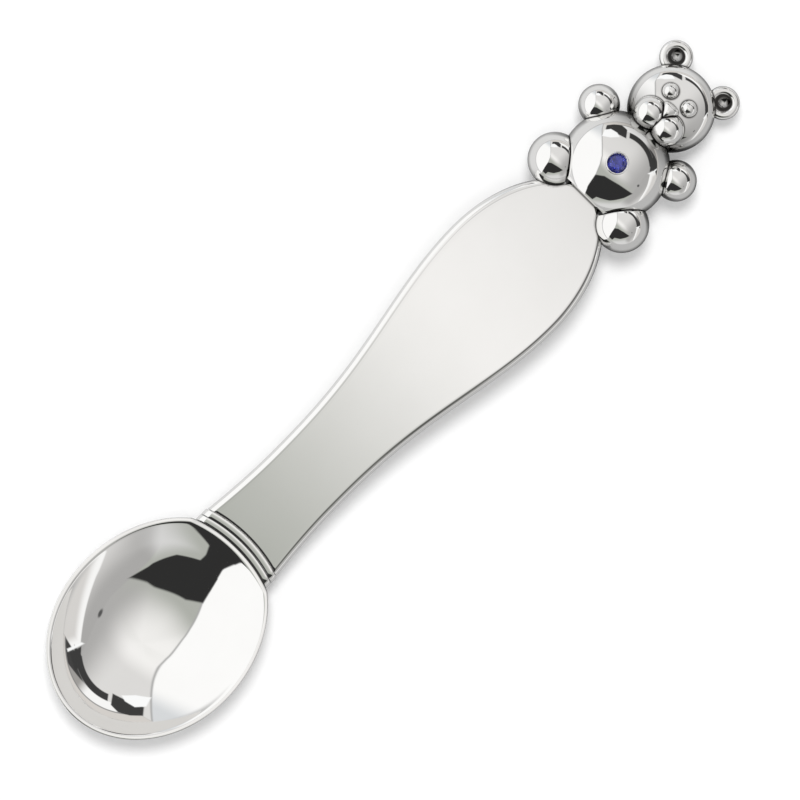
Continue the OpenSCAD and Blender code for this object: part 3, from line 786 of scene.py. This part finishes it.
def add_camera():
    """A camera straight above, turned so that the spoon lies from corner to corner of the picture."""
    turned = Matrix((RIGHT, UP, (0, 0, 1))).transposed()
    camera = bpy.data.objects.new("camera", bpy.data.cameras.new("camera"))
    camera.matrix_world = Matrix.Translation(AIM + CAMERA_DISTANCE * turned.col[2]) @ turned.to_4x4()
    camera.data.sensor_width = SENSOR
    camera.data.lens = SENSOR * CAMERA_DISTANCE / FRAME_WIDTH
    camera.data.clip_start = NEAREST
    bpy.context.scene.collection.objects.link(camera)
    bpy.context.scene.camera = camera


def least(g, values):
    """The least of several values."""
    lowest = values[0]
    for value in values[1:]:
        lowest = g.math("MINIMUM", lowest, value)
    return lowest


def distance_from(g, place, centre):
    x = g.math("SUBTRACT", place[0], centre[0])
    y = g.math("SUBTRACT", place[1], centre[1])
    return g.math("SQRT", g.math("MULTIPLY_ADD", x, x, g.math("MULTIPLY", y, y)))


def bear_reach(g, place):
    """Distance on the table from the bear's outline, seen from above."""
    balls = [((0, 0, 0), TORSO[0]), (HEAD_ORIGIN, HEAD[0])]
    for side in (-1, 1):
        balls += [(foot_centre(side), FOOT_RADIUS), (paw_centre(side), PAW_RADIUS)]
    centres = [MM * (BEAR_FRAME @ Vector(centre)) for centre, _ in balls]
    return least(g, [g.math("SUBTRACT", distance_from(g, place, centre), MM * radius)
                     for centre, (_, radius) in zip(centres, balls)])


def table_material():
    """White to the camera; to other rays greyer, darker to the right as painted light, and dark close to the
    bear as a painted shadow.
    """
    material, g = new_material("white_table")
    path = g.add("LightPath")
    camera = path.outputs["Is Camera Ray"]
    mirrored = g.math("MAXIMUM", path.outputs["Is Glossy Ray"], path.outputs["Is Transmission Ray"])
    place = g.add("SeparateXYZ", Vector=g.add("TexCoord").outputs["Object"]).outputs
    # Painted light in mirrors: the table is darker to the right, and a painted shadow darkens it close to the
    # bear.
    leftness = g.step(place["Y"], *FLOOR_FADE)
    clear_of_shadow = g.step(bear_reach(g, place), *CONTACT_SHADOW)
    mirror_colour = g.mix(clear_of_shadow, g.mix(leftness, *CONTACT_SHADOW_SIDES), g.mix(leftness, *FLOOR_SIDES))
    matt = g.add("BsdfDiffuse", Color=g.mix(camera, mirror_colour, TABLE_COLOUR))
    strength = g.math("MULTIPLY_ADD", camera, CAMERA_GLOW, g.math("MULTIPLY", mirrored, MIRROR_GLOW))
    glow = g.add("Emission", Color=WHITE, Strength=strength)
    both = g.add("AddShader", i0=matt.outputs[0], i1=glow.outputs[0])
    g.add("OutputMaterial", Surface=both.outputs[0])
    return material


def add_floor():
    half = TABLE_HALF
    corners = [(-half, -half, 0), (half, -half, 0), (half, half, 0), (-half, half, 0)]
    mesh = bpy.data.meshes.new("table")
    mesh.from_pydata(corners, [], [(0, 1, 2, 3)])
    mesh.materials.append(table_material())
    floor = bpy.data.objects.new("table", mesh)
    floor.location.z = -TABLE_DROP
    bpy.context.scene.collection.objects.link(floor)


def add_sun(name, energy, towards):
    """A soft sun in a direction, which mirrors don't show."""
    lamp = bpy.data.lights.new(name, "SUN")
    lamp.energy = energy
    lamp.angle = SUN_SPREAD
    lamp.specular_factor = 0
    sun = bpy.data.objects.new(name, lamp)
    sun.rotation_euler = Vector(towards).to_track_quat("Z", "Y").to_euler()
    sun.visible_glossy = False
    bpy.context.scene.collection.objects.link(sun)


# Studio round the table, as polished metal mirrors it. A place in it is the tangent of half the angle
# from the zenith, x towards the bear and y towards the bear's left.

CEILING_FADE, CEILING_FALL, CEILING_DIM = (-0.155, 0.02), (-0.02, 0.14), (-0.45, 0.02)
LOW_WALL, LOW_WALL_FADE = ((1, -0.36), (-1, -0.67)), (0.1, 0.42)
SHELF_EDGE, SHELF_BLUR, LAMP_BLUR = 0.08, 0.05, 0.12
LOW_SHELF = ((0.33, -0.5), (-0.05, -0.83), (-0.5, -1.15), (-0.5, -2), (0.9, -2), (0.6, -0.66))
LOW_LAMP = ((0.33, -0.49), (0.35, -0.53), (0.575, -0.66), (0.59, -0.63))
LEFT_LAMP = ((-0.35, -0.55), (-0.85, -0.2), (-1, -0.6), (-0.4, -0.95))
SKYLIGHT = ((-1.5, -0.06), (-0.276, 0.115), (-0.108, 0.18), (0, 0.247), (0.096, 0.348),
            (0.9, 1.25), (0.9, 2), (-1.5, 2))
SKYLIGHT_FADE, SKYLIGHT_FRAME = (0.12, 0.34), 0.015
DARK_DOOR = ((-0.276, 0.115), (-0.58, 0.075), (-0.6, -0.16), (-0.46, -0.36),
             (-0.24, -0.49), (-0.09, -0.54), (-0.13, -0.26), (-0.19, 0))
DOOR_WING = ((-0.4, 0.095), (-0.8, 0.04), (-0.8, -0.16), (-0.4, -0.16))
SIDE_LAMP = ((0.24, 0.5), (0.31, 0.37), (0.42, 0.27), (0.46, 0.36), (0.45, 0.5), (0.36, 0.57))
SIDE_BLOCK = ((0.384, 0.564), (0.48, 0.18), (0.648, 0.288), (0.672, 0.432), (0.6, 0.564), (0.492, 0.66))
RAIL_CENTRE, RAIL_RADII, RAIL_START = (0, -0.07), (0.575, 0.695), 0.45
RAIL_TOP = ((0.66, 0.235), (0.5, 0.13))
RAIL_FOOT = ((0.38, -0.505), (0.575, -0.6), (0.68, -0.4), (0.56, -0.37))
STUD_CENTRE, STUD_RADIUS = (0.07, -0.505), 0.022
FAR_WALL, FAR_WALL_CORNER, FAR_WALL_EDGE = (-0.28, -0.06), (0.69, 0.71), 0.84
FAR_WALL_START, FAR_LINE_WIDTH = 0.5, 0.02
HORIZON = (0.92, 1)

# Colours of the studio's panels.
CEILING_TOP, CEILING_BEAR, CEILING_RIGHT = grey(0.98, 0.01), grey(0.77, 0.01), grey(0.45, 0.01)
CEILING_BOWL = (0.458, 0.472, 0.438, 1)
LOW_WALL_COLOURS = grey(0.43, 0.01), grey(0.72, 0.01)
SHELF_TOP, LEFT_LAMP_GREY = grey(0.7, 0.02), grey(0.72)
SKYLIGHT_COLOURS, FRAME_GREY = (grey(1.05), grey(0.75, -0.03)), grey(0.42)
DOOR_DARK, RAIL_DARK, STUD_DARK = grey(0.03), grey(0.05), grey(0.1)
FAR_CORNER_COLOURS, FAR_LINE, FAR_BEIGE = (grey(0.06), grey(0.36, 0.03)), grey(0.25), grey(0.68, 0.04)
LAMP_WHITE = grey(1.05, -0.01)
HORIZON_GREY, ROOM_GREY = grey(0.5), grey(0.45)


def side_of(g, place, start, end):
    """Distance of a place from the line through two points, positive on the line's left."""
    along = Vector(end) - Vector(start)
    normal = Vector((-along.y, along.x)).normalized()
    across = g.math("MULTIPLY_ADD", place[0], normal.x, -normal.dot(Vector(start)))
    return g.math("MULTIPLY_ADD", place[1], normal.y, across)


def depth_in(g, place, corners):
    """Depth of a place inside a convex panel, whose corners run against the clock."""
    return least(g, [side_of(g, place, *ends) for ends in zip(corners, corners[1:] + corners[:1])])


def paint(g, colour, depth, value, blur=0.01):
    """A colour with another laid over it where a depth is positive."""
    return g.mix(g.step(depth, -blur, blur), colour, value)


def paint_panels(g, place, colour, panels, value):
    for panel in panels:
        colour = paint(g, colour, depth_in(g, place, panel), value)
    return colour


def ceiling(g, place):
    """A soft overhead panel, brightest near the zenith, dimmer over the bowl, the bear and its right side."""
    colour = g.mix(g.step(place[0], *CEILING_FALL), CEILING_TOP, CEILING_BEAR)
    colour = g.mix(g.step(place[1], *CEILING_DIM), CEILING_RIGHT, colour)
    return g.mix(g.step(place[0], *CEILING_FADE), CEILING_BOWL, colour)


def right_side(g, place, colour):
    """A low wall, a white shelf before it and a soft lamp beside it."""
    below = side_of(g, place, *LOW_WALL)
    colour = paint(g, colour, below, g.mix(g.step(below, *LOW_WALL_FADE), *LOW_WALL_COLOURS))
    shelf = depth_in(g, place, LOW_SHELF)
    colour = paint(g, colour, shelf, WHITE)
    colour = paint(g, colour, g.math("SUBTRACT", shelf, SHELF_EDGE), SHELF_TOP, SHELF_BLUR)
    return paint(g, colour, depth_in(g, place, LEFT_LAMP), LEFT_LAMP_GREY, LAMP_BLUR)


def skylight(g, place, colour):
    """A skylight in a thin grey frame, dimmer towards the bear."""
    depth = depth_in(g, place, SKYLIGHT)
    colour = paint(g, colour, g.math("ADD", depth, SKYLIGHT_FRAME), FRAME_GREY)
    return paint(g, colour, depth, g.mix(g.step(place[0], *SKYLIGHT_FADE), *SKYLIGHT_COLOURS))


def far_side(g, place, colour):
    """A wall beyond the bear, dark on the right and white on the left, a line and beige over it, and a
    dark curved rail before it."""
    reach = distance_from(g, place, RAIL_CENTRE)
    inner, outer = RAIL_RADII
    corner = g.mix(g.step(place[0], *FAR_WALL_CORNER), *FAR_CORNER_COLOURS)
    wall = g.mix(g.step(place[1], *FAR_WALL), corner, WHITE)
    past_start = g.math("SUBTRACT", place[0], FAR_WALL_START)
    bands = ((outer, wall), (FAR_WALL_EDGE, FAR_LINE), (FAR_WALL_EDGE + FAR_LINE_WIDTH, FAR_BEIGE))
    for edge, value in bands:
        colour = paint(g, colour, least(g, [g.math("SUBTRACT", reach, edge), past_start]), value)
    rail = least(g, [g.math("SUBTRACT", reach, inner), g.math("SUBTRACT", outer, reach),
                     side_of(g, place, *RAIL_TOP), g.math("SUBTRACT", place[0], RAIL_START)])
    colour = paint(g, colour, rail, RAIL_DARK)
    return paint_panels(g, place, colour, (RAIL_FOOT, SIDE_BLOCK), RAIL_DARK)


def studio_panels(g, place):
    """Colour of the studio at a place, each panel laid over those before it."""
    colour = right_side(g, place, ceiling(g, place))
    colour = skylight(g, place, colour)
    colour = paint_panels(g, place, colour, (DARK_DOOR, DOOR_WING), DOOR_DARK)
    colour = far_side(g, place, colour)
    colour = paint_panels(g, place, colour, (SIDE_LAMP, LOW_LAMP), LAMP_WHITE)
    stud = g.math("SUBTRACT", STUD_RADIUS, distance_from(g, place, STUD_CENTRE))
    colour = paint(g, colour, stud, STUD_DARK)
    return g.mix(g.step(distance_from(g, place, (0, 0)), *HORIZON), colour, HORIZON_GREY)


def set_world():
    """White to the camera, even light on the table, and the studio in mirrors."""
    world = bpy.data.worlds.new("studio")
    world.use_nodes = True
    bpy.context.scene.world = world
    g = Graph(world.node_tree)
    direction = g.add("SeparateXYZ", Vector=g.add("TexCoord").outputs["Generated"])
    lift = g.math("ADD", direction.outputs["Z"], 1.0)
    place = [g.math("DIVIDE", direction.outputs[axis], lift) for axis in "XY"]
    path = g.add("LightPath")
    light = g.mix(path.outputs["Is Glossy Ray"], ROOM_GREY, studio_panels(g, place))
    light = g.mix(path.outputs["Is Camera Ray"], light, WHITE)
    back = g.add("Background", Color=light)
    g.add("OutputWorld", Surface=back.outputs[0])


# Darkening: oxidised crevices, and painted shade, painted shadow and painted dark reflection lines

OXIDE_AND_SHADE_REACH, GROOVE_FINENESS = 0.14, 2.6
# The painted soft shade between head and torso, where they face each other: its strength and reach.
SHADE, SHADE_REACH = 0.85, 2.6
# The painted dark reflection lines along the handle's border, on the right and the left: how far they lie
# outside its inner edge, and how faint they are.
BORDER_REFLECTION_LINES = (0.31, 0), (0.01, 0.16)
# The dark ring in an ear's dish: its radii as shares of the bar's middle radius, and the depths that stand
# for the middle of the dish and for the ring.
DARK_DISH, DISH_DEPTHS = (0.45, 0.68), (0.16, 0.055)


def mark_oxide(mesh, beside, facing):
    """Writes how dark each point of a mesh is: oxidised crevices, a painted shadow line and painted dark
    reflection lines beside the pieces and lines given, and painted shade facing some.
    """
    points = np.empty(3 * len(mesh.vertices))
    mesh.vertices.foreach_get("co", points)
    points = points.reshape(-1, 3) / MM
    dark = np.zeros(len(points))
    for depths, strength, reach in ((beside, 1, OXIDE_AND_SHADE_REACH), (facing, SHADE, SHADE_REACH)):
        for depth in depths:
            dark = np.maximum(dark, strength * np.exp(-(np.maximum(depth(points), 0) / reach) ** 2))
    mesh.attributes.new("oxide", "FLOAT", "POINT").data.foreach_set("value", dark.astype(np.float32))


def in_bear(depth):
    """A signed distance of the bear, for points of the whole spoon."""
    back = np.array(BEAR_FRAME.inverted())
    return lambda points: depth(points @ back[:3, :3].T + back[:3, 3])


def ear_depth(side):
    """Signed distance to an ear whose dish is filled."""
    def depth(points):
        offset = points - ear_centre(side)
        out = np.maximum(np.hypot(offset[..., 0], offset[..., 1]) - EAR_MIDDLE, 0)
        return np.hypot(out, offset[..., 2]) - EAR_BAR
    return depth


def dish_depth(side):
    """Distance to the dark part of an ear's dish, a ring round its bright middle, measured across the ear."""
    inner, outer = (share * EAR_MIDDLE for share in DARK_DISH)

    def depth(points):
        reach = np.hypot(*(points - ear_centre(side))[..., :2].T)
        return np.interp(reach, (0, inner), DISH_DEPTHS) + np.maximum(reach - outer, 0)
    return depth


def groove_depth(order):
    """Distance to a groove of the collar, measured along the spoon."""
    place = BOWL_LENGTH + order * (BEAD_WIDTH + SOLDER_GAP) + SOLDER_GAP / 2
    return lambda points: GROOVE_FINENESS * np.abs(points[..., 0] + MIDDLE - bow(points[..., 1]) - place)


def border_reflection_depth(points):
    """Distance to the painted dark reflection lines along the handle's border, on its upper face."""
    along, across = points[..., 0] + MIDDLE, points[..., 1]
    place = along - neck_share(along) * bow(across)
    inner_edge = np.array([handle_half(p) for p in place]) - BORDER_RADIUS
    outwards, faintness = (np.where(across < 0, *values) for values in BORDER_REFLECTION_LINES)
    aside = GROOVE_FINENESS * np.abs(np.abs(across) - inner_edge - outwards) + faintness
    return np.where(points[..., 2] > arch_height(along), aside, FAR)


SIDES = {"left": 1, "right": -1}
GROOVES = [groove_depth(order) for order in range(2)]
DEPTHS = {"torso": torso_depth, "head": head_depth, "nose": nose_depth}
for word, side in SIDES.items():
    DEPTHS[f"{word}_foot"] = ball_depth(foot_centre(side), FOOT_RADIUS)
    DEPTHS[f"{word}_paw"] = ball_depth(paw_centre(side), PAW_RADIUS)
    DEPTHS[f"{word}_ear"] = ear_depth(side)
    DEPTHS[f"{word}_cheek"] = ball_depth(cheek_centre(side), CHEEK_RADIUS)
    DEPTHS[f"{word}_eye"] = ball_depth(eye_centre(side), EYE_RADIUS)


def neighbours(node):
    """Signed distances of the bear's pieces, without one of them."""
    return [in_bear(depth) for name, depth in DEPTHS.items() if name != node]


# Pieces on their stage

def add_piece(node, mesh, material, slot="silver", crease=32, beside=(), facing=()):
    """Shows a mesh in place of a solid of the same name, dark where it meets the pieces beside it."""
    mesh.shade_smooth()
    mark_oxide(mesh, beside, facing)
    mesh.set_sharp_from_angle(angle=math.radians(crease))
    mesh.materials.clear()
    mesh.materials.append(material)
    piece = bpy.data.objects.new(f"{slot}_{node}", mesh)
    bpy.context.scene.collection.objects.link(piece)
    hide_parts(node)
    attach(piece, "root")


add_camera()
add_floor()
add_sun("window", energy=1.75, towards=(0.19, 0.19, 1))
add_sun("fill", energy=0.4, towards=(-0.1, -0.1, 1))
set_world()
bpy.context.scene.view_settings.view_transform = "Standard"

silver = polished_silver()
add_piece("bowl", bowl_mesh(), silver, beside=GROOVES[:1])
add_piece("inner_collar_bead", bead_mesh(0), silver, beside=GROOVES)
add_piece("outer_collar_bead", bead_mesh(1), silver, beside=GROOVES[1:])
# The handle gets painted dark reflection lines along its border.
add_piece("handle", handle_mesh(), silver, beside=neighbours("handle") + [border_reflection_depth])
# Torso and head get painted shade where they face each other.
add_piece("torso", torso_mesh(), silver, beside=neighbours("torso"), facing=[in_bear(head_depth)])
add_piece("head", head_mesh(), silver, beside=neighbours("head"), facing=[in_bear(torso_depth)])
for word, side in SIDES.items():
    limbs = {
        "foot": limb_mesh(foot_centre(side), FOOT_RADIUS),
        "paw": limb_mesh(paw_centre(side), PAW_RADIUS),
        "ear": ear_mesh(side),
        "cheek": cheek_mesh(side),
        "eye": dome_mesh(eye_centre(side), EYE_RADIUS),
    }
    for name, mesh in limbs.items():
        node = f"{word}_{name}"
        dish = [in_bear(dish_depth(side))] if name == "ear" else []
        add_piece(node, mesh, silver, beside=neighbours(node) + dish)
add_piece("nose", nose_mesh(), silver, beside=neighbours("nose"))
add_piece("bezel", bezel_mesh(), silver)
add_piece("stone", stone_mesh(), blue_stone(), "stone", crease=1)
